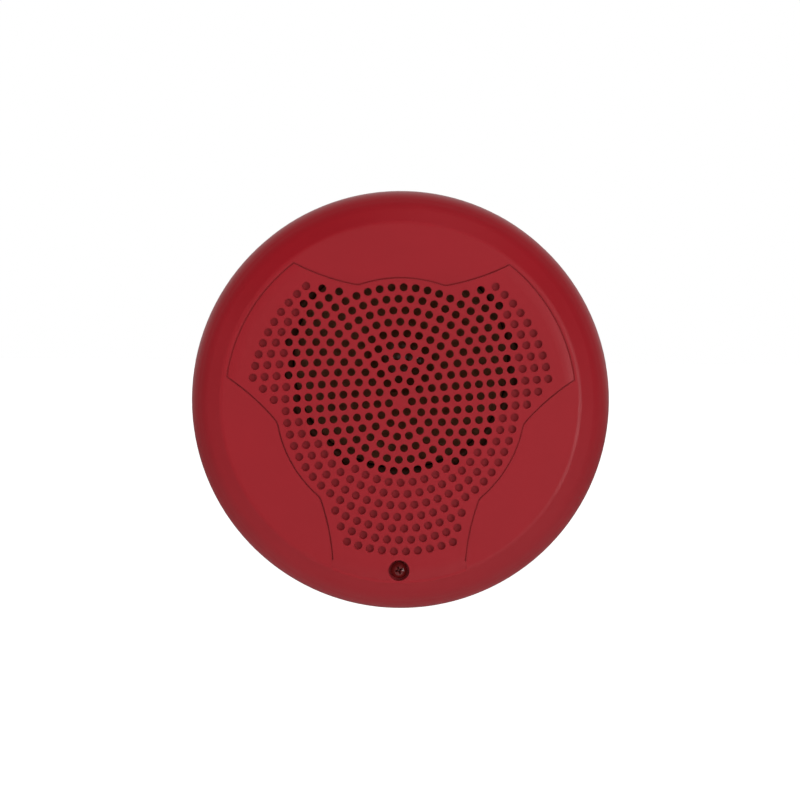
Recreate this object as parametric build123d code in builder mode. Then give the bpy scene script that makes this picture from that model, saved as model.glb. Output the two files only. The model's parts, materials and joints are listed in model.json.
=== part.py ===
"""Round wall or ceiling alarm sounder with a perforated three-lobed front.

Units are millimetres. X is to the right as seen from the room, Z is up, and Y runs into the wall.
The origin is on the wall plane, on the axis of the round body and at the centre of the box-screw pattern.
Most planes below are given by their height in front of the wall, so a height h is the plane y = -h.
"""

from build123d import *
from math import asin, cos, hypot, radians, sin, sqrt
import os

IN = 25.4
SLIP = 0.05  # radial running clearance of a pin in its hole

# Round body: a shallow dome with a flat face, open at the back.
BODY_R = 6.8 * IN / 2
FACE_H = 38.0
WALL = 2.6
INNER_H = FACE_H - WALL
SHOULDER_R = 74.0
KNEE_R, KNEE_H = 81.0, 33.5
WAIST_R, WAIST_H = BODY_R + 0.04, 27.0
REAR_R, REAR_H = 86.2, 1.5
CROWN_ROUNDS = (3.0, 12.0, 12.0)
INNER_CROWN = ((73.2, INNER_H), (79.25, 31.55), (83.8, 26.05), (83.6, REAR_H))
INNER_ROUNDS = (0.8, 9.4, 9.4)

# Three-lobed grille: a hub circle, three lobes that narrow outwards, and a groove round the edge.
HUB_R = 51.6
LOBE_R = 72.5
LOBE_ANGLES = (30, 150, 270)
LOBE_ROOT_HALF_W, LOBE_MID_HALF_W, LOBE_TIP_HALF_W = 33.1, 29.3, 27.5
LOBE_MID_U = 52.8
LOBE_ROOT_ROUND = 5.0
PAD_H = FACE_H + 0.6
PAD_ROLL_R, PAD_ROLL_START = 16.0, 67.9
GROOVE_W = 0.6
GROOVE_H = FACE_H - 0.5
TONGUE_HALF_W, TONGUE_START, TONGUE_END = 27.8, 65.3, 78.0

# Perforation: rings of 6, 12, 18 and so on, turned a little, whole on the hub and cut short on the lobes.
RING_PITCH = 4.735
RING_TWIST = 4.9
WHOLE_RINGS = 10
LAST_RING = 13
HOLE_R = 1.66
BLIND_R, BLIND_DEPTH = 1.7, 1.9

# Loudspeaker, above the body's axis so that the electronics fit under it.
SPEAKER_Z = 16.6
CONE_VIEW_R = 47.5  # holes nearer than this to the speaker's axis go right through
SEAT_R, FLANGE_R = 49.4, 52.4
SEAT_H = 32.4
GASKET_T = 1.0
FLANGE_H = SEAT_H - GASKET_T
FLANGE_T = 1.0
EAR_CIRCLE_R, EAR_R = 57.5, 5.0
BASKET_BASE_R, BASKET_BASE_H = 25.5, 14.0
BASKET_BEND_R, BASKET_BEND_H = 46.0, 26.0
SHEET = 1.0
TOP_PLATE_R, TOP_PLATE_H = 22.0, 11.0
MAGNET_R, MAGNET_BORE_R, MAGNET_H = 24.0, 12.5, 4.0
YOKE_H = 1.2
POLE_R, FORMER_R, FORMER_T, COIL_R, GAP_R = 9.6, 10.0, 0.2, 10.6, 11.05
FORMER_H, COIL_H, COIL_TOP_H = 9.6, 9.8, 15.0
CONE_R, CONE_RIM_H, CONE_NECK_H, CONE_T = 44.0, 29.4, 19.0, 0.6
DUST_CAP_R, DUST_CAP_RISE = 13.5, 4.0
SURROUND_IN_R, SURROUND_ROLL_R = 44.4, 1.6
SPIDER_H, SPIDER_T, SPIDER_IN_R, SPIDER_R = 16.2, 0.5, 10.6, 23.5

# Captive screw at the foot of the front, and its insert in the plate. The 6-32 thread is left plain.
SCREW_Z = -69.5
COUNTERBORE_R, COUNTERBORE_H = 4.35, 34.0
TOWER_R, TOWER_H = 6.0, 12.0
RETAINER_POCKET_R, RETAINER_POCKET_TOP = 4.2, 20.6
SCREW_MAJOR_R, SCREW_MINOR_R, SHANK_R = 1.75, 1.35, 1.45
RECESS_L, RECESS_W, RECESS_TURN = 3.4, 0.85, 20
INSERT_R, INSERT_BORE_R = 3.2, 1.85

# Hinge at the top: claws on the housing hang on bars on the plate.
HINGE_H, HINGE_Z = 11.0, 75.5
BAR_R, CLAW_R, EYE_R = 1.6, 3.4, 2.9
CLAW_X, CLAW_W = 12.0, 7.6
RIB_FOOT, RIB_TOP_Z = 2.4, HINGE_Z + 8.4
EAR_T = 3.0

# Rear cover, circuit board and what stands on it.
COVER_H, COVER_T, COVER_R = 14.0, 2.0, 78.0
COVER_TOP_Z = 65.0
BOSS_CIRCLE_R, BOSS_R, PILOT_R = 72.0, 3.8, 1.2
BOSS_ANGLES = (40, 140, 200, 250, 290, 340)
BOARD_H, BOARD_T, BOARD_R = 20.0, 1.6, 67.5
BOARD_TOP_Z = -26.0
BOARD_POSTS = ((-47, -41), (47, -41), (-20, -61), (20, -61))
TERMINAL_X = (-16.5, -5.5, 5.5, 16.5)
BLADE_Z = -59.0
SELECTOR = (-34.0, -47.0)
SLIDER = (34.0, -47.0)

# Mounting plate.
PLATE_R, PLATE_T = 79.0, 3.0
LIP_T, LIP_H = 2.4, 8.0
OPENING_R, OPENING_Z = 29.0, 15.5
PLATE_TOP_Z = 76.0
LIP_TOP_Z = 50.0
WIREWAY_HALF_W, WIREWAY_Z = 14.0, -40.0
GANG_X, GANG_Z = 1.812 * IN / 2, 3.281 * IN / 2
OCTAGON_X = 3.5 * IN / 2
BOX_SCREW_R, SLOT_L = 2.4, 9.0
BLOCK_HALF_W, BLOCK_TOP_Z, BLOCK_BOTTOM_Z = 23.0, -46.5, -64.0
SHELF_H, BARRIER_H = 8.5, 11.5
TERMINAL_SCREW_Z = -51.5


def wall_plane(height):
    """A plane parallel to the wall, at this height in front of it, as seen from the room."""
    return Plane.XZ.offset(height)


def side_plane(x):
    """A plane across the body at x, drawn as (height in front of the wall, Z)."""
    return Plane(origin=(x, 0, 0), x_dir=(0, -1, 0), z_dir=(-1, 0, 0))


def turning_plane(z=0.0):
    """A half section, drawn as (radius, height in front of the wall), of a piece turned about z."""
    return Plane(origin=(0, 0, z), x_dir=(1, 0, 0), z_dir=(0, 0, -1))


def turning_axis(z=0.0):
    """The axis, square to the wall, of a piece turned about this z."""
    return Axis((0, 0, z), (0, 1, 0))


def polar(radius, angle):
    """A point as seen from the room, with the angle anticlockwise from the right."""
    return (radius * cos(radians(angle)), radius * sin(radians(angle)))


def turned(point, angle):
    """A point turned about the body's axis."""
    x, z = point
    a = radians(angle)
    return (x * cos(a) - z * sin(a), x * sin(a) + z * cos(a))


def grille_holes():
    """Centres of all the holes: whole rings on the hub, then shorter runs on each lobe."""
    centres = []
    for ring in range(1, LAST_RING + 1):
        step = 360 / (6 * ring)
        if ring <= WHOLE_RINGS:
            indices = range(6 * ring)
        else:
            first = ring - 12
            indices = [lobe * 2 * ring + i for lobe in range(3) for i in range(first, 11)]
        centres += [polar(ring * RING_PITCH, RING_TWIST + step * i) for i in indices]
    return centres


HOLES = grille_holes()
THROUGH = [c for c in HOLES if hypot(c[0], c[1] - SPEAKER_Z) <= CONE_VIEW_R]
BLIND = [c for c in HOLES if c not in THROUGH]
EARS = [(x, SPEAKER_Z + z) for x, z in (polar(EAR_CIRCLE_R, a) for a in (45, 135, 225, 315))]
BOSSES = [polar(BOSS_CIRCLE_R, a) for a in BOSS_ANGLES]

os.makedirs("parts", exist_ok=True)


def dome_arc(radius, rise, low):
    """Three points, from the axis outwards, of a dome that stands on a circle at height low."""
    ball_r = (radius**2 + rise**2) / (2 * rise)
    middle = asin(radius / ball_r) / 2
    top = low + rise
    return (0, top), (ball_r * sin(middle), top - ball_r * (1 - cos(middle))), (radius, low)


def save(builder, name):
    """Labels a finished piece and writes its STEP file."""
    builder.part.label = name
    export_step(builder.part, f"parts/{name}.step")


# ---------------------------------------------------------------- front housing

def lobe_point(radius, half_width, side):
    """A point of a lobe's edge, in the lobe's own frame, at this radius from the body's axis."""
    return (sqrt(radius**2 - half_width**2), side * half_width)


def trefoil(inset):
    """The grille's outline, moved inwards by inset, with its three root corners rounded."""
    hub_r, lobe_r = HUB_R - inset, LOBE_R - inset
    root_w, mid_w, tip_w = (w - inset for w in (LOBE_ROOT_HALF_W, LOBE_MID_HALF_W, LOBE_TIP_HALF_W))
    with BuildSketch() as outline:
        with BuildLine():
            for lobe in LOBE_ANGLES:
                root_1, root_2 = (turned(lobe_point(hub_r, root_w, side), lobe) for side in (-1, 1))
                tip_1, tip_2 = (turned(lobe_point(lobe_r, tip_w, side), lobe) for side in (-1, 1))
                next_root = turned(lobe_point(hub_r, root_w, -1), lobe + 120)
                ThreePointArc(root_1, turned((LOBE_MID_U, -mid_w), lobe), tip_1)
                ThreePointArc(tip_1, polar(lobe_r, lobe), tip_2)
                ThreePointArc(tip_2, turned((LOBE_MID_U, mid_w), lobe), root_2)
                ThreePointArc(root_2, polar(hub_r, lobe + 60), next_root)
        make_face()
        roots = outline.vertices().filter_by(lambda v: v.center().length < HUB_R + 1)
        fillet(roots, LOBE_ROOT_ROUND + inset)
    return outline.sketch


# The pad inside the groove. Its lobes roll off, and a tongue runs the bottom lobe out into the shoulder.
with BuildSketch() as tongue:
    with Locations((0, -(TONGUE_START + TONGUE_END) / 2)):
        Rectangle(2 * TONGUE_HALF_W, TONGUE_END - TONGUE_START)

with BuildPart() as pad:
    with BuildSketch(wall_plane(GROOVE_H - 0.2)):
        add(trefoil(GROOVE_W))
        add(tongue.sketch_local)
    extrude(amount=4)
    with BuildSketch(turning_plane()):
        roll_half, roll_full = radians(18), radians(36)
        roll_mid, roll_end = [
            (PAD_ROLL_START + PAD_ROLL_R * sin(a), PAD_H - PAD_ROLL_R * (1 - cos(a)))
            for a in (roll_half, roll_full)
        ]
        with BuildLine():
            Line((0, PAD_H), (PAD_ROLL_START, PAD_H))
            ThreePointArc((PAD_ROLL_START, PAD_H), roll_mid, roll_end)
            Polyline(roll_end, (0, roll_end[1]), (0, PAD_H))
        make_face()
    revolve(axis=turning_axis(), mode=Mode.INTERSECT)

with BuildPart() as front_housing:
    with BuildSketch(turning_plane()):
        with BuildLine():
            crown = FilletPolyline(
                (0, FACE_H),
                (SHOULDER_R, FACE_H),
                (KNEE_R, KNEE_H),
                (WAIST_R, WAIST_H),
                (REAR_R, REAR_H),
                radius=CROWN_ROUNDS,
            )
            inner_crown = FilletPolyline((0, INNER_H), *INNER_CROWN, radius=INNER_ROUNDS)
            Line(crown @ 1, inner_crown @ 1)
            Line((0, INNER_H), (0, FACE_H))
        make_face()
    revolve(axis=turning_axis())

    # A shallow pocket for the pad leaves the groove round it.
    with BuildSketch(wall_plane(GROOVE_H)):
        add(trefoil(0))
        add(tongue.sketch_local)
    extrude(amount=4, mode=Mode.SUBTRACT)
    add(pad.part)

    # Posts inside: speaker seat and bosses, rear-cover bosses, board posts and the screw tower.
    with BuildSketch(wall_plane(SEAT_H)):
        with Locations((0, SPEAKER_Z)):
            Circle(FLANGE_R)
            Circle(SEAT_R, mode=Mode.SUBTRACT)
    extrude(amount=INNER_H - SEAT_H + 0.2)
    with BuildSketch(wall_plane(FLANGE_H)):
        with Locations(*EARS):
            Circle(BOSS_R)
    extrude(amount=INNER_H - FLANGE_H + 0.2)
    with BuildSketch(wall_plane(COVER_H + COVER_T)):
        with Locations(*BOSSES):
            Circle(BOSS_R)
    extrude(amount=INNER_H - COVER_H - COVER_T + 0.2)
    with BuildSketch(wall_plane(BOARD_H + BOARD_T)):
        with Locations(*BOARD_POSTS):
            Circle(3.0)
    extrude(amount=INNER_H - BOARD_H - BOARD_T + 0.2)
    with BuildSketch(wall_plane(TOWER_H)):
        with Locations((0, SCREW_Z)):
            Circle(TOWER_R)
    extrude(amount=INNER_H - TOWER_H + 0.2)

    # Pilot holes of those posts.
    for centres, height, depth in (
        (EARS, FLANGE_H, 4.0),
        (BOSSES, COVER_H + COVER_T, 9.0),
        (BOARD_POSTS, BOARD_H + BOARD_T, 7.0),
    ):
        with BuildSketch(wall_plane(height)):
            with Locations(*centres):
                Circle(PILOT_R)
        extrude(amount=depth, mode=Mode.SUBTRACT)

    # Bore, counterbore and retainer pocket of the screw tower.
    for radius, low, high in (
        (SCREW_MAJOR_R + 0.3, TOWER_H, FACE_H),
        (COUNTERBORE_R, COUNTERBORE_H, FACE_H + 3),
        (RETAINER_POCKET_R, TOWER_H, RETAINER_POCKET_TOP),
    ):
        with BuildSketch(wall_plane(low)):
            with Locations((0, SCREW_Z)):
                Circle(radius)
        extrude(amount=high - low, mode=Mode.SUBTRACT)

    # Claws that hang on the plate's bars, each on a rib from the rim, with the mouth down.
    for x in (-CLAW_X, CLAW_X):
        with BuildSketch(side_plane(x)):
            with Locations((HINGE_H, HINGE_Z)):
                Circle(CLAW_R)
            with BuildLine():
                Polyline(
                    (HINGE_H - RIB_FOOT, HINGE_Z),
                    (HINGE_H + CLAW_R, HINGE_Z),
                    (HINGE_H + CLAW_R + 1, RIB_TOP_Z),
                    (HINGE_H - RIB_FOOT, RIB_TOP_Z),
                    close=True,
                )
            make_face()
            with Locations((HINGE_H, HINGE_Z)):
                Circle(BAR_R + SLIP, mode=Mode.SUBTRACT)
            with Locations((HINGE_H, HINGE_Z - 3)):
                Rectangle(2 * BAR_R - 0.3, 6, mode=Mode.SUBTRACT)
        extrude(amount=CLAW_W / 2, both=True)

    # The rim is cut back at the top, so that the cover can tilt without touching the wall.
    with BuildSketch(side_plane(0)):
        with Locations((0, HINGE_Z + 10)):
            Rectangle(13, 22)
    extrude(amount=40, both=True, mode=Mode.SUBTRACT)

    # Perforation.
    with BuildSketch(wall_plane(INNER_H - 1)):
        with Locations(*THROUGH):
            Circle(HOLE_R)
    extrude(amount=WALL + 4, mode=Mode.SUBTRACT)
    with BuildSketch(wall_plane(PAD_H - BLIND_DEPTH)):
        with Locations(*BLIND):
            Circle(BLIND_R)
    extrude(amount=BLIND_DEPTH + 1, mode=Mode.SUBTRACT)
save(front_housing, "front_housing")


def turned_ring(name, inner, outer, low, high, z=0.0):
    """Makes and saves a plain ring about z between two heights."""
    with BuildPart() as ring:
        with BuildSketch(wall_plane(low)):
            with Locations((0, z)):
                Circle(outer)
                if inner:
                    Circle(inner, mode=Mode.SUBTRACT)
        extrude(amount=high - low)
    save(ring, name)


def screw_set(name, centres, head_h, shank_end_h, head_r, shank_r):
    """Makes and saves a set of cross-recessed pan-head screws put in from behind."""
    head_t = 1.6
    with BuildPart() as screws:
        with BuildSketch(wall_plane(head_h - head_t)):
            with Locations(*centres):
                Circle(head_r)
        extrude(amount=head_t)
        fillet(screws.edges().group_by(Axis.Y)[-1], 0.6)
        with BuildSketch(wall_plane(head_h)):
            with Locations(*centres):
                Circle(shank_r)
        extrude(amount=shank_end_h - head_h)
        with BuildSketch(wall_plane(head_h - head_t)):
            with Locations(*centres):
                Rectangle(head_r * 1.1, 0.5)
                Rectangle(0.5, head_r * 1.1)
        extrude(amount=head_t * 0.6, mode=Mode.SUBTRACT)
    save(screws, name)


# ---------------------------------------------------------------- loudspeaker

turned_ring("speaker_gasket", SEAT_R, FLANGE_R, FLANGE_H, SEAT_H, SPEAKER_Z)
turned_ring("top_plate", GAP_R, TOP_PLATE_R, TOP_PLATE_H, BASKET_BASE_H, SPEAKER_Z)
turned_ring("ring_magnet", MAGNET_BORE_R, MAGNET_R, MAGNET_H, TOP_PLATE_H, SPEAKER_Z)
turned_ring("voice_coil_former", FORMER_R, FORMER_R + FORMER_T, FORMER_H, CONE_NECK_H, SPEAKER_Z)
turned_ring("voice_coil_winding", FORMER_R + FORMER_T, COIL_R, COIL_H, COIL_TOP_H, SPEAKER_Z)

with BuildPart() as pole_yoke:
    with BuildSketch(wall_plane(YOKE_H)):
        with Locations((0, SPEAKER_Z)):
            Circle(TOP_PLATE_R)
    extrude(amount=MAGNET_H - YOKE_H)
    chamfer(pole_yoke.edges().group_by(Axis.Y)[-1], 0.8)
    with BuildSketch(wall_plane(MAGNET_H)):
        with Locations((0, SPEAKER_Z)):
            Circle(POLE_R)
    extrude(amount=BASKET_BASE_H - MAGNET_H)
save(pole_yoke, "pole_yoke")

# Pressed basket: flange with four ears, windowed wall, base on the top plate and a ledge for the spider.
with BuildPart() as speaker_basket:
    with BuildSketch(turning_plane(SPEAKER_Z)):
        with BuildLine():
            Polyline(
                (GAP_R + 1.5, BASKET_BASE_H),
                (BASKET_BASE_R + SHEET, BASKET_BASE_H),
                (BASKET_BEND_R + SHEET, BASKET_BEND_H),
                (BASKET_BEND_R + SHEET, FLANGE_H - FLANGE_T),
                (FLANGE_R, FLANGE_H - FLANGE_T),
                (FLANGE_R, FLANGE_H),
                (BASKET_BEND_R, FLANGE_H),
                (BASKET_BEND_R, BASKET_BEND_H + SHEET),
                (BASKET_BASE_R, SPIDER_H),
                (BASKET_BASE_R - 3.5, SPIDER_H),
                (BASKET_BASE_R - 3.5, BASKET_BASE_H + SHEET),
                (GAP_R + 1.5, BASKET_BASE_H + SHEET),
                close=True,
            )
        make_face()
    revolve(axis=turning_axis(SPEAKER_Z))
    with BuildSketch(wall_plane(FLANGE_H - FLANGE_T)):
        with Locations(*EARS):
            Circle(EAR_R)
        with Locations((0, SPEAKER_Z)):
            with PolarLocations(EAR_CIRCLE_R - EAR_R, 4, start_angle=45):
                Rectangle(2 * EAR_R, 2 * EAR_R)
            Circle(BASKET_BEND_R + SHEET, mode=Mode.SUBTRACT)
        with Locations(*EARS):
            Circle(1.5, mode=Mode.SUBTRACT)
    extrude(amount=FLANGE_T)
    with BuildSketch(wall_plane(BASKET_BASE_H + 3.5)):
        with Locations((0, SPEAKER_Z)):
            with PolarLocations(36.0, 6, start_angle=0):
                SlotCenterToCenter(17.0, 8.0, rotation=90)
    extrude(amount=FLANGE_H - BASKET_BASE_H - 6, mode=Mode.SUBTRACT)
save(speaker_basket, "speaker_basket")

with BuildPart() as cone:
    with BuildSketch(turning_plane(SPEAKER_Z)):
        with BuildLine():
            neck, rim = FORMER_R + FORMER_T, CONE_R
            mid = ((neck + rim) / 2, (CONE_NECK_H + CONE_RIM_H) / 2 + 1.4)
            ThreePointArc((neck, CONE_NECK_H), mid, (rim, CONE_RIM_H))
            Line((rim, CONE_RIM_H), (rim, CONE_RIM_H - CONE_T))
            ThreePointArc((rim, CONE_RIM_H - CONE_T), (mid[0], mid[1] - CONE_T), (neck, CONE_NECK_H - CONE_T))
            Line((neck, CONE_NECK_H - CONE_T), (neck, CONE_NECK_H))
        make_face()
    revolve(axis=turning_axis(SPEAKER_Z))
save(cone, "cone")

with BuildPart() as dust_cap:
    seat_h = CONE_NECK_H + 2.6
    with BuildSketch(turning_plane(SPEAKER_Z)):
        with BuildLine():
            outer = ThreePointArc(*dome_arc(DUST_CAP_R, DUST_CAP_RISE, seat_h))
            inner = ThreePointArc(*dome_arc(DUST_CAP_R - 0.6, DUST_CAP_RISE - 0.4, seat_h))
            Line(outer @ 1, inner @ 1)
            Line(inner @ 0, outer @ 0)
        make_face()
    revolve(axis=turning_axis(SPEAKER_Z))
save(dust_cap, "dust_cap")

# Rubber surround: a half roll between two flat lips.
with BuildPart() as surround:
    roll_z = SURROUND_IN_R + SURROUND_ROLL_R + 0.4
    low = FLANGE_H
    with BuildSketch(turning_plane(SPEAKER_Z)):
        with BuildLine():
            Line((SURROUND_IN_R, low), (roll_z - SURROUND_ROLL_R, low))
            ThreePointArc(
                (roll_z - SURROUND_ROLL_R, low),
                (roll_z, low + SURROUND_ROLL_R),
                (roll_z + SURROUND_ROLL_R, low),
            )
            Polyline(
                (roll_z + SURROUND_ROLL_R, low),
                (SEAT_R - 0.3, low),
                (SEAT_R - 0.3, low + 0.4),
                (roll_z + SURROUND_ROLL_R + 0.4, low + 0.4),
            )
            ThreePointArc(
                (roll_z + SURROUND_ROLL_R + 0.4, low + 0.4),
                (roll_z, low + SURROUND_ROLL_R + 0.5),
                (roll_z - SURROUND_ROLL_R - 0.4, low + 0.4),
            )
            Line((roll_z - SURROUND_ROLL_R - 0.4, low + 0.4), (SURROUND_IN_R, low))
        make_face()
    revolve(axis=turning_axis(SPEAKER_Z))
save(surround, "surround")

# Corrugated spider between the coil former and the ledge in the basket.
with BuildPart() as spider:
    wave_l, wave_h = 2.15, 0.5
    with BuildSketch(turning_plane(SPEAKER_Z)):
        with BuildLine():
            crest = [SPIDER_IN_R + 0.5 + wave_l * i for i in range(6)]
            upper = [(r, SPIDER_H + SPIDER_T + (wave_h if i % 2 else 0)) for i, r in enumerate(crest)]
            lower = [(r, h - SPIDER_T) for r, h in upper]
            start, end = (SPIDER_IN_R, SPIDER_H), (SPIDER_R, SPIDER_H)
            Polyline(start, *lower, end, (SPIDER_R, SPIDER_H + SPIDER_T))
            Polyline((SPIDER_R, SPIDER_H + SPIDER_T), *upper[::-1], (SPIDER_IN_R, SPIDER_H + SPIDER_T), start)
        make_face()
    revolve(axis=turning_axis(SPEAKER_Z))
save(spider, "spider")

screw_set("speaker_screws", EARS, FLANGE_H - FLANGE_T, FLANGE_H + 3.5, 2.6, PILOT_R - SLIP)

# Phenolic strip with two solder tabs' holes, on the wall of the basket.
STRIP_Z = SPEAKER_Z - BASKET_BEND_R - SHEET - 0.9
with BuildPart() as terminal_strip:
    with BuildSketch(wall_plane(FLANGE_H - FLANGE_T - 5)):
        with Locations((0, STRIP_Z)):
            Rectangle(18, 1.2)
    extrude(amount=5)
save(terminal_strip, "terminal_strip")

for name, side in (("lead_red", -1), ("lead_black", 1)):
    with BuildPart() as lead:
        with BuildLine() as run:
            start_h, board_h = FLANGE_H - FLANGE_T - 3, BOARD_H + BOARD_T
            FilletPolyline(
                (side * 6, -start_h, STRIP_Z - 0.7),
                (side * 6, -start_h, STRIP_Z - 4.0),
                (side * 24, -start_h, STRIP_Z - 7.0),
                (side * 24, -board_h, STRIP_Z - 7.0),
                radius=1.5,
            )
        with BuildSketch(Plane(origin=run.line @ 0, z_dir=run.line % 0)):
            Circle(0.6)
        sweep()
    save(lead, name)

# ---------------------------------------------------------------- rear cover

with BuildPart() as rear_cover:
    with BuildSketch(wall_plane(COVER_H)):
        Circle(COVER_R)
        with Locations((0, COVER_TOP_Z + 20)):
            Rectangle(2 * COVER_R, 40, mode=Mode.SUBTRACT)
        with Locations((0, SPEAKER_Z)):
            Circle(31.0, mode=Mode.SUBTRACT)
        with Locations(*BOSSES):
            Circle(1.5, mode=Mode.SUBTRACT)
        with Locations((0, SCREW_Z)):
            Circle(TOWER_R + 0.3, mode=Mode.SUBTRACT)
        with Locations((0, BLADE_Z)):
            Rectangle(42, 8, mode=Mode.SUBTRACT)
        with Locations(SELECTOR):
            Circle(4.6, mode=Mode.SUBTRACT)
        with Locations(SLIDER):
            Rectangle(10, 4.4, mode=Mode.SUBTRACT)
        with GridLocations(96, 7, 2, 5):
            SlotOverall(16, 2.5, mode=Mode.SUBTRACT)
    extrude(amount=COVER_T)
save(rear_cover, "rear_cover")
screw_set("rear_cover_screws", BOSSES, COVER_H, COVER_H + COVER_T + 7, 2.6, PILOT_R - SLIP)

# ---------------------------------------------------------------- circuit board

with BuildPart() as circuit_board:
    with BuildSketch(wall_plane(BOARD_H)):
        Circle(BOARD_R)
        with Locations((0, BOARD_TOP_Z + BOARD_R)):
            Rectangle(2 * BOARD_R, 2 * BOARD_R, mode=Mode.SUBTRACT)
        with Locations((0, SCREW_Z)):
            Circle(TOWER_R + 1, mode=Mode.SUBTRACT)
        with Locations(*BOARD_POSTS):
            Circle(1.5, mode=Mode.SUBTRACT)
        with Locations(*[(x, BLADE_Z) for x in TERMINAL_X]):
            Rectangle(0.9, 5.1, mode=Mode.SUBTRACT)
    extrude(amount=BOARD_T)
save(circuit_board, "circuit_board")
screw_set("board_screws", BOARD_POSTS, BOARD_H, BOARD_H + BOARD_T + 5, 2.4, PILOT_R - SLIP)

with BuildPart() as blade_pins:
    with BuildSketch(wall_plane(5.2)):
        with Locations(*[(x, BLADE_Z) for x in TERMINAL_X]):
            Rectangle(0.8, 5.0)
    extrude(amount=BOARD_H + BOARD_T + 0.8 - 5.2)
    chamfer(blade_pins.edges().group_by(Axis.Y)[-1].filter_by(Axis.Z), 0.25)
save(blade_pins, "blade_pins")

TRANSFORMER_Z, TRANSFORMER_H = -47.5, BOARD_H + BOARD_T
with BuildPart() as transformer_core:
    with BuildSketch(Plane.XY.offset(TRANSFORMER_Z - 4.5)):
        with Locations((0, -TRANSFORMER_H - 6.0)):
            Rectangle(28, 11.6)
            with Locations((-8.25, 0), (8.25, 0)):
                Rectangle(4.5, 7.0, mode=Mode.SUBTRACT)
    extrude(amount=9)
save(transformer_core, "transformer_core")

with BuildPart() as transformer_winding:
    with BuildSketch(Plane.XY.offset(TRANSFORMER_Z - 7.5)):
        with Locations((0, -TRANSFORMER_H - 6.0)):
            RectangleRounded(20.5, 6.8, 1.0)
    extrude(amount=15)
    with BuildSketch(Plane.XY.offset(TRANSFORMER_Z - 4.6)):
        with Locations((0, -TRANSFORMER_H - 6.0)):
            Rectangle(12.2, 11.6)
            Rectangle(40, 11.6)
            with Locations((-8.25, 0), (8.25, 0)):
                Rectangle(4.3, 6.8, mode=Mode.SUBTRACT)
    extrude(amount=9.2, mode=Mode.SUBTRACT)
save(transformer_winding, "transformer_winding")

with BuildPart() as capacitors:
    with BuildSketch(wall_plane(BOARD_H + BOARD_T)):
        with Locations((-40, -33), (-51, -31)):
            Circle(4.0)
    extrude(amount=6.5)
    fillet(capacitors.edges().group_by(Axis.Y)[0], 0.5)
save(capacitors, "capacitors")

with BuildPart() as chips:
    with BuildSketch(wall_plane(BOARD_H + BOARD_T)):
        with Locations((36, -33), (48, -31)):
            Rectangle(7, 5)
        with GridLocations(5.0, 4.0, 3, 2):
            with Locations((27, -52)):
                Rectangle(2.0, 1.2)
    extrude(amount=1.3)
save(chips, "chips")

# ---------------------------------------------------------------- selector and switch, set from behind

SELECTOR_BODY_H = COVER_H + COVER_T + 0.4
with BuildPart() as selector_body:
    with BuildSketch(wall_plane(SELECTOR_BODY_H)):
        with Locations(SELECTOR):
            Rectangle(10.5, 10.5)
            Circle(1.5 + SLIP, mode=Mode.SUBTRACT)
    extrude(amount=BOARD_H - SELECTOR_BODY_H)
save(selector_body, "selector_body")

with BuildPart() as selector_knob:
    with BuildSketch(wall_plane(COVER_H - 1.5)):
        with Locations(SELECTOR):
            Circle(3.6)
    extrude(amount=SELECTOR_BODY_H - 0.15 - COVER_H + 1.5)
    chamfer(selector_knob.edges().group_by(Axis.Y)[-1], 0.4)
    with BuildSketch(wall_plane(COVER_H)):
        with Locations(SELECTOR):
            Circle(1.5)
    extrude(amount=BOARD_H - 0.3 - COVER_H)
    with BuildSketch(wall_plane(COVER_H - 1.5)):
        with Locations(SELECTOR):
            Rectangle(8, 0.9)
    extrude(amount=1.2, mode=Mode.SUBTRACT)
    with BuildSketch(wall_plane(COVER_H - 1.5)):
        with Locations((SELECTOR[0] + 2.6, SELECTOR[1] + 1.3)):
            Circle(0.5)
    extrude(amount=0.4, mode=Mode.SUBTRACT)
save(selector_knob, "selector_knob")

with BuildPart() as switch_body:
    with BuildSketch(wall_plane(SELECTOR_BODY_H)):
        with Locations(SLIDER):
            Rectangle(13, 6.5)
            Rectangle(7.6, 2.5, mode=Mode.SUBTRACT)
    extrude(amount=BOARD_H - SELECTOR_BODY_H)
save(switch_body, "switch_body")

with BuildPart() as switch_slider:
    with BuildSketch(wall_plane(COVER_H - 0.5)):
        with Locations(SLIDER):
            Rectangle(3.0, 2.3)
    extrude(amount=BOARD_H - 1.0 - COVER_H + 0.5)
    for rib in (-0.9, 0, 0.9):
        with BuildSketch(wall_plane(COVER_H - 0.5)):
            with Locations((SLIDER[0] + rib, SLIDER[1])):
                Rectangle(0.3, 3)
        extrude(amount=0.3, mode=Mode.SUBTRACT)
save(switch_slider, "switch_slider")

# ---------------------------------------------------------------- captive screw and its retainer

with BuildPart() as captive_screw:
    with BuildSketch(turning_plane(SCREW_Z)):
        head_r, head_low, head_t = 3.35, COUNTERBORE_H + 0.05, 2.3
        thread_low, thread_high = 3.6, 12.4
        with BuildLine():
            Polyline(
                (0, thread_low),
                (SCREW_MINOR_R - 0.3, thread_low),
                (SCREW_MAJOR_R, thread_low + 1),
                (SCREW_MAJOR_R, thread_high),
                (SHANK_R, thread_high),
                (SHANK_R, head_low),
                (head_r, head_low),
                (head_r, head_low + 1.1),
            )
            ThreePointArc(*dome_arc(head_r, head_t - 1.1, head_low + 1.1))
            Line((0, head_low + head_t), (0, thread_low))
        make_face()
    revolve(axis=turning_axis(SCREW_Z))
    # Cross recess, tapering inwards.
    with BuildSketch(wall_plane(head_low + head_t)):
        with Locations((0, SCREW_Z)):
            Rectangle(RECESS_L, RECESS_W, rotation=RECESS_TURN)
            Rectangle(RECESS_W, RECESS_L, rotation=RECESS_TURN)
            Circle(RECESS_W)
    extrude(amount=-1.7, taper=14, mode=Mode.SUBTRACT)
save(captive_screw, "captive_screw")
turned_ring("screw_retainer", SHANK_R + 0.07, 3.2, 12.6, 13.4, SCREW_Z)

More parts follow.
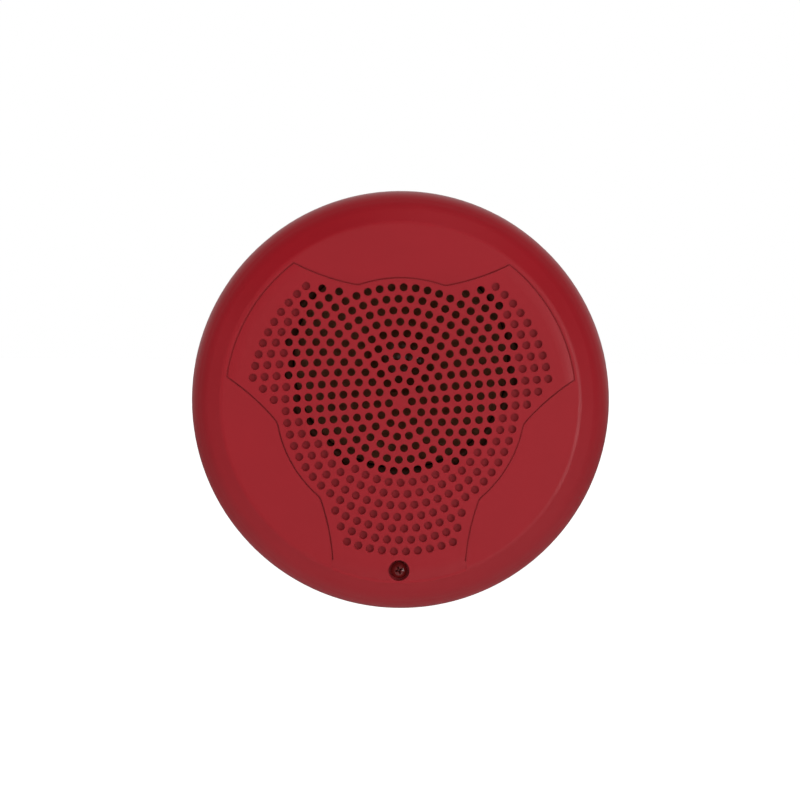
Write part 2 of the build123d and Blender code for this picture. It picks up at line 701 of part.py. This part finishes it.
# ---------------------------------------------------------------- mounting plate

with BuildPart() as mounting_plate:
    with BuildSketch(wall_plane(0)):
        Circle(PLATE_R)
        with Locations((0, PLATE_TOP_Z + 10)):
            Rectangle(2 * PLATE_R, 20, mode=Mode.SUBTRACT)
        with Locations((0, OPENING_Z)):
            Circle(OPENING_R, mode=Mode.SUBTRACT)
        with Locations((0, (WIREWAY_Z + OPENING_Z) / 2)):
            Rectangle(2 * WIREWAY_HALF_W, OPENING_Z - WIREWAY_Z, mode=Mode.SUBTRACT)
        with GridLocations(2 * GANG_X, 2 * GANG_Z, 2, 2):
            Circle(BOX_SCREW_R, mode=Mode.SUBTRACT)
        with Locations((-OCTAGON_X, 0), (OCTAGON_X, 0)):
            SlotOverall(SLOT_L, 2 * BOX_SCREW_R, mode=Mode.SUBTRACT)
    extrude(amount=PLATE_T)
    # Lip round the edge, left out at the top where the cover tilts back over it.
    with BuildSketch(wall_plane(PLATE_T)):
        Circle(PLATE_R)
        Circle(PLATE_R - LIP_T, mode=Mode.SUBTRACT)
        with Locations((0, LIP_TOP_Z + 20)):
            Rectangle(2 * PLATE_R, 40, mode=Mode.SUBTRACT)
    extrude(amount=LIP_H - PLATE_T)
    # Collar round the opening and stiffening ribs.
    with BuildSketch(wall_plane(PLATE_T)):
        with Locations((0, OPENING_Z)):
            Circle(OPENING_R + 1.6)
            Circle(OPENING_R, mode=Mode.SUBTRACT)
        with Locations((0, OPENING_Z - OPENING_R)):
            Rectangle(2 * WIREWAY_HALF_W, 12, mode=Mode.SUBTRACT)
    extrude(amount=1.5)
    with BuildSketch(wall_plane(PLATE_T)):
        with Locations((-62, 0), (62, 0)):
            Rectangle(1.6, 70)
        with Locations((-37, -30), (37, -30)):
            Rectangle(50, 1.6)
    extrude(amount=1.5)
    with BuildSketch(wall_plane(PLATE_T)):
        with Locations((0, SCREW_Z)):
            Circle(INSERT_R + 1.8)
    extrude(amount=6)
    with BuildSketch(wall_plane(PLATE_T)):
        with Locations((0, SCREW_Z)):
            Circle(INSERT_R)
    extrude(amount=8, mode=Mode.SUBTRACT)
    # Hinge bar between three ears.
    for x in (-18.5, 0, 18.5):
        with BuildSketch(side_plane(x)):
            with BuildLine():
                Polyline(
                    (PLATE_T - 0.5, PLATE_TOP_Z - 16),
                    (PLATE_T - 0.5, PLATE_TOP_Z),
                    (HINGE_H, HINGE_Z + EYE_R * 0.55),
                    (HINGE_H + EYE_R * 0.6, HINGE_Z - EYE_R * 0.6),
                    close=True,
                )
            make_face()
            with Locations((HINGE_H, HINGE_Z)):
                Circle(EYE_R)
        extrude(amount=EAR_T / 2, both=True)
    with BuildSketch(side_plane(0)):
        with Locations((HINGE_H, HINGE_Z)):
            Circle(BAR_R)
    extrude(amount=18.5, both=True)
save(mounting_plate, "mounting_plate")
turned_ring("threaded_insert", INSERT_BORE_R, INSERT_R, PLATE_T, 9.0, SCREW_Z)

# ---------------------------------------------------------------- terminal block

BLOCK_MID_Z = (BLOCK_TOP_Z + BLOCK_BOTTOM_Z) / 2
with BuildPart() as terminal_block:
    with BuildSketch(wall_plane(PLATE_T)):
        with Locations((0, BLOCK_MID_Z)):
            Rectangle(2 * BLOCK_HALF_W, BLOCK_TOP_Z - BLOCK_BOTTOM_Z)
    extrude(amount=SHELF_H - PLATE_T)
    with BuildSketch(wall_plane(SHELF_H)):
        with Locations(*[(x, BLOCK_MID_Z) for x in (-22.2, -11, 0, 11, 22.2)]):
            Rectangle(1.6, BLOCK_TOP_Z - BLOCK_BOTTOM_Z)
    extrude(amount=BARRIER_H - SHELF_H)
    with BuildSketch(wall_plane(PLATE_T + 0.6)):
        with Locations(*[(x, BLADE_Z) for x in TERMINAL_X]):
            Rectangle(2.6, 6.8)
    extrude(amount=8, mode=Mode.SUBTRACT)
    with BuildSketch(wall_plane(PLATE_T + 0.6)):
        with Locations(*[(x, TERMINAL_SCREW_Z) for x in TERMINAL_X]):
            Circle(1.55)
    extrude(amount=8, mode=Mode.SUBTRACT)
save(terminal_block, "terminal_block")

with BuildPart() as blade_sockets:
    with BuildSketch(wall_plane(PLATE_T + 0.6)):
        with Locations(*[(x, BLADE_Z) for x in TERMINAL_X]):
            Rectangle(2.5, 6.6)
    extrude(amount=4.6)
    with BuildSketch(wall_plane(PLATE_T + 1.1)):
        with Locations(*[(x, BLADE_Z) for x in TERMINAL_X]):
            Rectangle(1.6, 8)
    extrude(amount=8, mode=Mode.SUBTRACT)
save(blade_sockets, "blade_sockets")

with BuildPart() as terminal_clamps:
    with BuildSketch(wall_plane(SHELF_H)):
        with Locations(*[(x, TERMINAL_SCREW_Z) for x in TERMINAL_X]):
            Rectangle(7.4, 7.0)
            Circle(1.6, mode=Mode.SUBTRACT)
    extrude(amount=0.8)
save(terminal_clamps, "terminal_clamps")

with BuildPart() as terminal_screws:
    terminals = [(x, TERMINAL_SCREW_Z) for x in TERMINAL_X]
    with BuildSketch(wall_plane(PLATE_T + 1)):
        with Locations(*terminals):
            Circle(1.5)
    extrude(amount=SHELF_H + 0.8 - PLATE_T - 1)
    with BuildSketch(wall_plane(SHELF_H + 0.8)):
        with Locations(*terminals):
            Circle(2.9)
    extrude(amount=1.7)
    fillet(terminal_screws.edges().group_by(Axis.Y)[0], 0.5)
    with BuildSketch(wall_plane(SHELF_H + 2.5)):
        with Locations(*terminals):
            Rectangle(7, 0.8)
    extrude(amount=-0.9, mode=Mode.SUBTRACT)
save(terminal_screws, "terminal_screws")
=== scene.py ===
"""Studio view of the round alarm sounder, with a procedural finish on every piece.

Lengths are metres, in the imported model's own frame: X right, Z up, and the front faces -Y.
"""

import json
import math

import bpy
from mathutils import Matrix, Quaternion, Vector


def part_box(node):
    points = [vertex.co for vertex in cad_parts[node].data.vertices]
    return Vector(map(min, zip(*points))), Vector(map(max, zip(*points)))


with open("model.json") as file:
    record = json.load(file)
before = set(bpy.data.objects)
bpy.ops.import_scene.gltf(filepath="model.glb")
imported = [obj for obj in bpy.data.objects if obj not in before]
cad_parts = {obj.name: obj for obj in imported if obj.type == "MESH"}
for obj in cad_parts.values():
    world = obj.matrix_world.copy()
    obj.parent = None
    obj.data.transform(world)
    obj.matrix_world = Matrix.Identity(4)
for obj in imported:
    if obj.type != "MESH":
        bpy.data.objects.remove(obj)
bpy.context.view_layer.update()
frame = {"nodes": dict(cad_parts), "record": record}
nodes = frame["nodes"]
MM = 0.001


# ---------------------------------------------------------------- node helpers

MIDDLE = (0.3, 0.7)  # nearly all of a noise lies between these
NO_EDGE, FULL_EDGE = 0.99, 0.75  # cosine between the rounded normal and the true one
EDGE_SAMPLES = 4
MIX_FACTOR, MIX_A, MIX_B, MIX_RESULT = 0, 6, 7, 2  # sockets of a mix node for colours
WAVE_RADIANS = 20  # how far a wave texture of scale 1 turns along one unit


class Graph:
    """A short way to write the node tree of a material or a world."""

    def __init__(self, owner, shader):
        owner.use_nodes = True
        self.owner = owner
        self.tree = owner.node_tree
        self.shader = self.tree.nodes[shader]
        self.places = self.add("ShaderNodeTexCoord").outputs

    def add(self, kind, settings=None, **inputs):
        """Makes a node, sets its properties, and sets or links its inputs by name."""
        made = self.tree.nodes.new(kind)
        for key, value in (settings or {}).items():
            setattr(made, key, value)
        for key, value in inputs.items():
            self.put(made.inputs[key.replace("_", " ")], value)
        return made

    def put(self, socket, value):
        """Links a socket to an output, or sets its value."""
        if isinstance(value, bpy.types.NodeSocket):
            self.tree.links.new(value, socket)
        else:
            socket.default_value = value

    def set(self, **inputs):
        """Sets or links inputs of the shader."""
        for key, value in inputs.items():
            self.put(self.shader.inputs[key.replace("_", " ")], value)

    def math(self, operation, a, b):
        """One sum on two values."""
        made = self.add("ShaderNodeMath", {"operation": operation})
        self.put(made.inputs[0], a)
        self.put(made.inputs[1], b)
        return made.outputs[0]

    def coords(self, stretch=(1, 1, 1), centre=(0, 0, 0)):
        """Object coordinates about a centre, stretched along each axis."""
        shift = [-c * s for c, s in zip(centre, stretch)]
        made = self.add("ShaderNodeMapping", Vector=self.places["Object"], Scale=stretch, Location=shift)
        return made.outputs[0]

    def noise(self, size, detail=3.0, rough=0.5, stretch=(1, 1, 1)):
        """Noise from 0 to 1 whose lumps are about size metres across."""
        place = self.coords(stretch)
        made = self.add("ShaderNodeTexNoise", Vector=place, Scale=1 / size, Detail=detail, Roughness=rough)
        return made.outputs["Fac"]

    def wave(self, pitch, settings, centre=(0, 0, 0)):
        """A sine wave from 0 to 1, with one crest each pitch metres."""
        made = self.add(
            "ShaderNodeTexWave",
            {"wave_profile": "SIN", **settings},
            Vector=self.coords(centre=centre),
            Scale=2 * math.pi / (WAVE_RADIANS * pitch),
        )
        return made.outputs["Fac"]

    def bands(self, pitch, axis):
        """Fine bands across an axis, one each pitch metres."""
        return self.wave(pitch, {"wave_type": "BANDS", "bands_direction": axis})

    def cells(self, size, settings, randomness):
        """Distances in a pattern of cells on the XZ plane, about size metres across."""
        flat = self.coords(stretch=(1, 0, 1))
        made = self.add("ShaderNodeTexVoronoi", settings, Vector=flat, Scale=1 / size, Randomness=randomness)
        return made.outputs["Distance"]

    def remap(self, value, low, high, to_low=0.0, to_high=1.0):
        """Maps low..high of a value to to_low..to_high, and clamps it."""
        made = self.add("ShaderNodeMapRange", {"clamp": True})
        for socket, number in zip(made.inputs, (value, low, high, to_low, to_high)):
            self.put(socket, number)
        return made.outputs[0]

    def mix(self, factor, a, b):
        """Mixes two colours."""
        made = self.add("ShaderNodeMix", {"data_type": "RGBA"})
        self.put(made.inputs[MIX_FACTOR], factor)
        for index, colour in ((MIX_A, a), (MIX_B, b)):
            linked = isinstance(colour, bpy.types.NodeSocket)
            self.put(made.inputs[index], colour if linked else (*colour, 1))
        return made.outputs[MIX_RESULT]

    def edges(self, radius):
        """A mask that is 1 on sharp outer and inner edges."""
        round_normal = self.add("ShaderNodeBevel", {"samples": EDGE_SAMPLES}, Radius=radius).outputs[0]
        flat_normal = self.add("ShaderNodeNewGeometry").outputs["Normal"]
        dot = self.add("ShaderNodeVectorMath", {"operation": "DOT_PRODUCT"})
        self.put(dot.inputs[0], round_normal)
        self.put(dot.inputs[1], flat_normal)
        return self.remap(dot.outputs["Value"], NO_EDGE, FULL_EDGE)

    def bump(self, height, depth, under=None):
        """Adds a height field whose range of 0 to 1 is depth metres."""
        made = self.add("ShaderNodeBump", Height=height, Distance=depth, Strength=1.0)
        if under is not None:
            self.put(made.inputs["Normal"], under)
        self.set(Normal=made.outputs[0])
        return made.outputs[0]


def surface(name):
    """The node tree of a new material."""
    return Graph(bpy.data.materials.new(name), "Principled BSDF")


# ---------------------------------------------------------------- kinds of finish


def moulded(
    name, colour, shade, rough=(0.4, 0.5), grain=0.35 * MM, depth=0.012 * MM, wear_and_edge_highlight=None, specular=0.5
):
    """Moulded plastic: faint flow marks, a fine tool texture, and lighter edges that are partly wear and
    partly a painted edge highlight.
    """
    g = surface(name)
    flow = g.noise(38 * MM, detail=4)
    speck = g.noise(1.1 * MM, detail=2)
    tone = g.mix(g.remap(flow, *MIDDLE), colour, shade)
    tone = g.mix(g.remap(speck, 0.62, 0.8, to_high=0.25), tone, shade)
    # Lighter colour where the edge mask is high: partly wear, partly a painted edge highlight.
    if wear_and_edge_highlight:
        patchy = g.remap(g.noise(2.5 * MM), 0.35, 0.7, to_low=0.1, to_high=0.55)
        tone = g.mix(g.math("MULTIPLY", g.edges(0.35 * MM), patchy), tone, wear_and_edge_highlight)
    g.set(Base_Color=tone, Roughness=g.remap(flow, 0.25, 0.75, *rough), Specular_IOR_Level=specular)
    swell = g.bump(g.noise(14 * MM, detail=1), 0.03 * MM)
    g.bump(g.noise(grain, detail=2, rough=0.6), depth, under=swell)
    return g.owner


def metal(name, colour, shade, wear_and_edge_highlight):
    """Plated or machined metal: brushed one way, with a patchy dullness and brighter edges."""
    g = surface(name)
    patch = g.noise(9 * MM, detail=5)
    lines = g.noise(0.5 * MM, detail=3, stretch=(1, 6, 1))
    tone = g.mix(g.remap(patch, *MIDDLE), colour, shade)
    tone = g.mix(g.remap(lines, 0.3, 0.8, to_high=0.3), tone, shade)
    tone = g.mix(g.math("MULTIPLY", g.edges(0.2 * MM), 0.6), tone, wear_and_edge_highlight)
    g.set(Base_Color=tone, Roughness=g.remap(patch, *MIDDLE, to_low=0.25, to_high=0.45), Metallic=1.0)
    g.bump(lines, 0.01 * MM)
    return g.owner


def soft(name, colour, shade, rough=(0.6, 0.8), grain=0.5 * MM, depth=0.03 * MM):
    """Rubber, foam, paper or other dull material with a fibrous or porous surface."""
    g = surface(name)
    patch = g.noise(7 * MM, detail=5)
    fibre = g.noise(grain, detail=5, rough=0.7)
    tone = g.mix(g.remap(patch, *MIDDLE), colour, shade)
    tone = g.mix(g.remap(fibre, 0.45, 0.7, to_high=0.5), tone, shade)
    g.set(Base_Color=tone, Roughness=g.remap(fibre, *MIDDLE, *rough))
    g.bump(fibre, depth)
    return g.owner


def ferrite(name, colour, shade, specks, chips):
    """Ground ferrite: dull, with fine pale specks, chipped edges and a few grinding lines."""
    g = surface(name)
    speck = g.noise(0.8 * MM, detail=3)
    lines = g.noise(0.6 * MM, detail=2, stretch=(1, 1, 9))
    tone = g.mix(g.remap(g.noise(12 * MM), *MIDDLE), colour, shade)
    tone = g.mix(g.remap(speck, 0.63, 0.75, to_high=0.5), tone, specks)
    chipped = g.math("MULTIPLY", g.edges(0.4 * MM), g.remap(g.noise(2 * MM), 0.45, 0.6))
    tone = g.mix(chipped, tone, chips)
    g.set(Base_Color=tone, Roughness=g.remap(lines, *MIDDLE, to_low=0.45, to_high=0.7))
    g.bump(lines, 0.015 * MM)
    return g.owner


def paper_cone(name, colour, shade, centre):
    """Pressed paper: fibres, with faint concentric ribs about the speaker's axis."""
    g = surface(name)
    fibre = g.noise(0.9 * MM, detail=6, rough=0.7)
    ribs = g.wave(5 * MM, {"wave_type": "RINGS", "rings_direction": "Y"}, centre)
    tone = g.mix(g.remap(fibre, 0.35, 0.7), colour, shade)
    g.set(Base_Color=tone, Roughness=g.remap(fibre, *MIDDLE, to_low=0.55, to_high=0.8))
    ribbed = g.bump(ribs, 0.12 * MM)
    g.bump(fibre, 0.05 * MM, under=ribbed)
    return g.owner


def weave(name, colour, shade, pitch):
    """Resin-stiffened open cloth: two crossing sets of threads."""
    g = surface(name)
    cloth = g.math("MULTIPLY", g.bands(pitch, "X"), g.bands(pitch, "Z"))
    tone = g.mix(g.remap(cloth, 0.05, 0.6), shade, colour)
    tone = g.mix(g.remap(g.noise(6 * MM), 0.4, 0.8, to_high=0.4), tone, shade)
    g.set(Base_Color=tone, Roughness=g.remap(cloth, 0, 1, to_low=0.75, to_high=0.55))
    g.bump(cloth, 0.12 * MM)
    return g.owner


def stacked(name, colour, shade, pitch, axis, rough, metallic):
    """Something wound or laminated: fine bands across one axis, with uneven tone."""
    g = surface(name)
    layers = g.bands(pitch, axis)
    patch = g.noise(4 * MM, detail=4)
    tone = g.mix(g.remap(layers, 0.1, 0.6), shade, colour)
    tone = g.mix(g.remap(patch, 0.4, 0.75, to_high=0.35), tone, shade)
    g.set(Base_Color=tone, Roughness=g.remap(patch, *MIDDLE, *rough), Metallic=metallic)
    g.bump(layers, 0.06 * MM)
    return g.owner


def circuit_mask(name, colour, shade, tin):
    """Solder mask over copper: islands with darker gaps between them, and tinned dots."""
    g = surface(name)
    border = g.cells(6 * MM, {"feature": "DISTANCE_TO_EDGE"}, randomness=0.8)
    centre = g.cells(4 * MM, {"feature": "F1", "distance": "CHEBYCHEV"}, randomness=0.6)
    gap = g.remap(border, 0.05, 0.09, to_low=1, to_high=0)
    dot = g.remap(centre, 0.1, 0.12, to_low=1, to_high=0)
    tone = g.mix(dot, g.mix(gap, colour, shade), tin)
    rough = g.remap(g.noise(3 * MM), *MIDDLE, to_low=0.25, to_high=0.4)
    g.set(Base_Color=tone, Roughness=rough, Metallic=g.math("MULTIPLY", dot, 0.9))
    g.bump(g.math("SUBTRACT", 1.0, gap), 0.03 * MM)
    return g.owner


def sleeved(name, colour, shade, top_y, top_metal):
    """A capacitor in its shrink sleeve, with a bare metal top facing the front."""
    g = surface(name)
    y = g.add("ShaderNodeSeparateXYZ", Vector=g.places["Object"]).outputs["Y"]
    top = g.remap(y, top_y - 0.05 * MM, top_y + 0.05 * MM, to_low=1, to_high=0)
    tone = g.mix(g.remap(g.noise(5 * MM), *MIDDLE), colour, shade)
    rough = g.remap(g.noise(1.5 * MM), *MIDDLE, to_low=0.25, to_high=0.4)
    g.set(Base_Color=g.mix(top, tone, top_metal), Metallic=top, Roughness=rough)
    g.bump(g.noise(2 * MM), 0.05 * MM)
    return g.owner


# ---------------------------------------------------------------- finish of each material slot

cone_low, cone_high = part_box("cone")
CONE_CENTRE = tuple((cone_low + cone_high) / 2)
BARE_TOP = 0.3 * MM  # depth of a capacitor's bare metal top
CAPACITOR_TOP_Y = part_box("capacitors")[0].y + BARE_TOP

# For each slot, the kind of finish, its colour, the shade of its patches, and what sets it apart.
FINISHES = {
    "red_plastic": (
        moulded,
        (0.365, 0.0095, 0.0175),
        (0.34, 0.0085, 0.0155),
        # The red plastic's lighter edge colour is partly wear and partly a painted highlight along the
        # grooves and rims.
        {"rough": (0.40, 0.48), "wear_and_edge_highlight": (0.44, 0.030, 0.038), "specular": 0.36},
    ),
    "red_paint": (
        moulded,
        (0.17, 0.010, 0.010),
        (0.13, 0.008, 0.008),
        {"rough": (0.12, 0.20), "grain": 0.6 * MM, "depth": 0.004 * MM},
    ),
    "ivory_plastic": (
        moulded,
        (0.70, 0.66, 0.56),
        (0.64, 0.60, 0.50),
        {"rough": (0.45, 0.6), "wear_and_edge_highlight": (0.78, 0.75, 0.67)},
    ),
    "black_plastic": (
        moulded,
        (0.022, 0.022, 0.024),
        (0.032, 0.032, 0.034),
        {"rough": (0.4, 0.55), "wear_and_edge_highlight": (0.07, 0.07, 0.072)},
    ),
    "grey_plastic": (moulded, (0.16, 0.165, 0.18), (0.12, 0.125, 0.14), {"wear_and_edge_highlight": (0.28, 0.28, 0.3)}),
    "white_nylon": (moulded, (0.74, 0.73, 0.68), (0.66, 0.65, 0.60), {"wear_and_edge_highlight": (0.82, 0.81, 0.78)}),
    "zinc_steel": (metal, (0.60, 0.61, 0.60), (0.42, 0.43, 0.44), {"wear_and_edge_highlight": (0.72, 0.72, 0.72)}),
    "basket_steel": (
        moulded,
        (0.025, 0.025, 0.028),
        (0.04, 0.04, 0.043),
        {"rough": (0.3, 0.45), "grain": 0.8 * MM, "wear_and_edge_highlight": (0.12, 0.12, 0.12)},
    ),
    "core_steel": (
        stacked,
        (0.20, 0.20, 0.21),
        (0.05, 0.05, 0.055),
        {"pitch": 0.5 * MM, "axis": "Z", "rough": (0.4, 0.6), "metallic": 0.8},
    ),
    "ferrite": (
        ferrite,
        (0.035, 0.035, 0.038),
        (0.055, 0.055, 0.058),
        {"specks": (0.16, 0.16, 0.165), "chips": (0.2, 0.2, 0.21)},
    ),
    "brass": (metal, (0.72, 0.50, 0.20), (0.52, 0.34, 0.13), {"wear_and_edge_highlight": (0.85, 0.66, 0.34)}),
    "board_green": (circuit_mask, (0.015, 0.13, 0.05), (0.006, 0.055, 0.022), {"tin": (0.7, 0.68, 0.62)}),
    "black_epoxy": (
        moulded,
        (0.014, 0.014, 0.015),
        (0.024, 0.024, 0.025),
        {"rough": (0.5, 0.65), "wear_and_edge_highlight": (0.05, 0.05, 0.05)},
    ),
    "capacitor_sleeve": (
        sleeved,
        (0.012, 0.02, 0.075),
        (0.008, 0.014, 0.05),
        {"top_y": CAPACITOR_TOP_Y, "top_metal": (0.62, 0.62, 0.63)},
    ),
    "winding_tape": (
        stacked,
        (0.66, 0.48, 0.10),
        (0.50, 0.34, 0.06),
        {"pitch": 3.2 * MM, "axis": "Z", "rough": (0.25, 0.4), "metallic": 0.0},
    ),
    "paper_cone": (paper_cone, (0.38, 0.155, 0.07), (0.25, 0.10, 0.045), {"centre": CONE_CENTRE}),
    "dust_cap": (
        moulded,
        (0.26, 0.11, 0.05),
        (0.19, 0.08, 0.035),
        {"rough": (0.08, 0.16), "grain": 1.5 * MM, "depth": 0.004 * MM},
    ),
    "surround_rubber": (soft, (0.24, 0.10, 0.05), (0.17, 0.07, 0.035), {"rough": (0.5, 0.7)}),
    "spider_cloth": (weave, (0.56, 0.38, 0.12), (0.26, 0.15, 0.04), {"pitch": 0.7 * MM}),
    "former_paper": (soft, (0.50, 0.33, 0.15), (0.38, 0.24, 0.10), {}),
    "copper_wire": (
        stacked,
        (0.62, 0.22, 0.08),
        (0.25, 0.07, 0.02),
        {"pitch": 0.25 * MM, "axis": "Y", "rough": (0.25, 0.4), "metallic": 1.0},
    ),
    "gasket_foam": (
        soft,
        (0.022, 0.022, 0.023),
        (0.045, 0.045, 0.046),
        {"grain": 0.7 * MM, "depth": 0.12 * MM},
    ),
    "phenolic": (soft, (0.24, 0.12, 0.05), (0.17, 0.08, 0.03), {"rough": (0.35, 0.5), "depth": 0.01 * MM}),
    "wire_red": (moulded, (0.45, 0.015, 0.012), (0.36, 0.01, 0.01), {"rough": (0.25, 0.35)}),
    "wire_black": (moulded, (0.012, 0.012, 0.012), (0.022, 0.022, 0.022), {"rough": (0.25, 0.35)}),
}
materials = {
    slot: kind(slot, colour, shade, **extras) for slot, (kind, colour, shade, extras) in FINISHES.items()
}

for part in frame["record"]["subparts"]:
    node = nodes[part["node"]]
    node.data.materials.clear()
    node.data.materials.append(materials[part["material_slot"]])

# ---------------------------------------------------------------- camera


def aimed(made, place, target):
    """Puts a camera or light at a place and points it at a target."""
    made.location = place
    made.rotation_mode = "QUATERNION"
    made.rotation_quaternion = (Vector(target) - Vector(place)).to_track_quat("-Z", "Y")
    bpy.context.scene.collection.objects.link(made)
    return made


SENSOR_MM = 36.0
CAMERA_DISTANCE = 2.4
CAMERA_REACH = 50.0
VIEW_WIDTH = 0.3313
CAMERA_ELEVATION = math.radians(3.3)
CAMERA_ROLL = math.radians(0.5)
AIM = Vector((-0.00018, -0.022, 0.0))  # close to the body's axis, a little in front of half its depth

camera_data = bpy.data.cameras.new("camera")
camera_data.sensor_width = SENSOR_MM
camera_data.lens = SENSOR_MM * CAMERA_DISTANCE / VIEW_WIDTH
camera_data.clip_end = CAMERA_REACH
back = Vector((0, -math.cos(CAMERA_ELEVATION), math.sin(CAMERA_ELEVATION)))
camera = aimed(bpy.data.objects.new("camera", camera_data), AIM + back * CAMERA_DISTANCE, AIM)
camera.rotation_quaternion @= Quaternion((0, 0, 1), CAMERA_ROLL)
bpy.context.scene.camera = camera

# ---------------------------------------------------------------- floor

FLOOR_Z, FLOOR_HALF = -0.6, 12.0
CORNERS = ((-1, -1), (1, -1), (1, 1), (-1, 1))
FLOOR_COLOUR, FLOOR_PATCH_COLOUR = (0.80, 0.80, 0.80), (0.82, 0.82, 0.82)
FLOOR_PATCH, FLOOR_ROUGH = 0.4, 0.9
FLOOR_GLOW = 0.9  # keeps the floor as pale as the room where the camera sees it
WHITE = (1, 1, 1)

floor_data = bpy.data.meshes.new("floor")
floor_data.from_pydata([(x * FLOOR_HALF, y * FLOOR_HALF, FLOOR_Z) for x, y in CORNERS], [], [(0, 1, 2, 3)])
floor = bpy.data.objects.new("floor", floor_data)
bpy.context.scene.collection.objects.link(floor)

pale = surface("pale_floor")
floor_seen = pale.add("ShaderNodeLightPath").outputs["Is Camera Ray"]
pale.set(
    Base_Color=pale.mix(pale.noise(FLOOR_PATCH), FLOOR_COLOUR, FLOOR_PATCH_COLOUR),
    Emission_Color=(*WHITE, 1),
    Emission_Strength=pale.math("MULTIPLY", floor_seen, FLOOR_GLOW),
    Roughness=FLOOR_ROUGH,
)
floor_data.materials.append(pale.owner)

# ---------------------------------------------------------------- light

# Softboxes round the front: name, direction from the object, distance, size, watts, and whether it shows
# as a gleam on the object.
SOFTBOXES = (
    ("right", (0.60, -0.80, -0.06), 1.3, 0.5, 4.2, True),
    ("left", (-0.80, -0.60, 0.10), 1.3, 0.9, 4.4, False),
    ("top", (0.22, -0.65, 0.85), 1.3, 0.8, 6.5, False),
    ("low", (0.10, -0.75, -0.60), 0.9, 0.5, 0.9, False),
)
for name, direction, distance, size, watts, gleams in SOFTBOXES:
    light = bpy.data.lights.new(name, "AREA")
    light.shape, light.size, light.energy = "SQUARE", size, watts
    box = aimed(bpy.data.objects.new(name, light), Vector(direction).normalized() * distance, (0, 0, 0))
    box.visible_glossy = gleams

# The room's brightness along Y, from 0 behind the camera to 1 behind the object: a pale card round the
# camera, dark between them, and a white room at the back. Where the camera sees the room, it is plain white.
ROOM_BY_Y = ((0.0, 0.58), (0.03, 0.58), (0.10, 0.03), (0.58, 0.03), (0.80, 0.85), (1.0, 0.85))

room = Graph(bpy.data.worlds.new("studio"), "Background")
bpy.context.scene.world = room.owner
towards_back = room.add("ShaderNodeSeparateXYZ", Vector=room.places["Generated"]).outputs["Y"]
level = room.add("ShaderNodeValToRGB", Fac=room.remap(towards_back, -1, 1))
stops = level.color_ramp.elements
for _ in range(len(ROOM_BY_Y) - len(stops)):
    stops.new(0.5)
for stop, (y, bright) in zip(stops, ROOM_BY_Y):
    stop.position = y
    stop.color = (bright, bright, bright, 1)
room_seen = room.add("ShaderNodeLightPath").outputs["Is Camera Ray"]
room.set(Strength=room.mix(room_seen, level.outputs["Color"], WHITE), Color=(*WHITE, 1))

bpy.context.scene.view_settings.view_transform = "Standard"
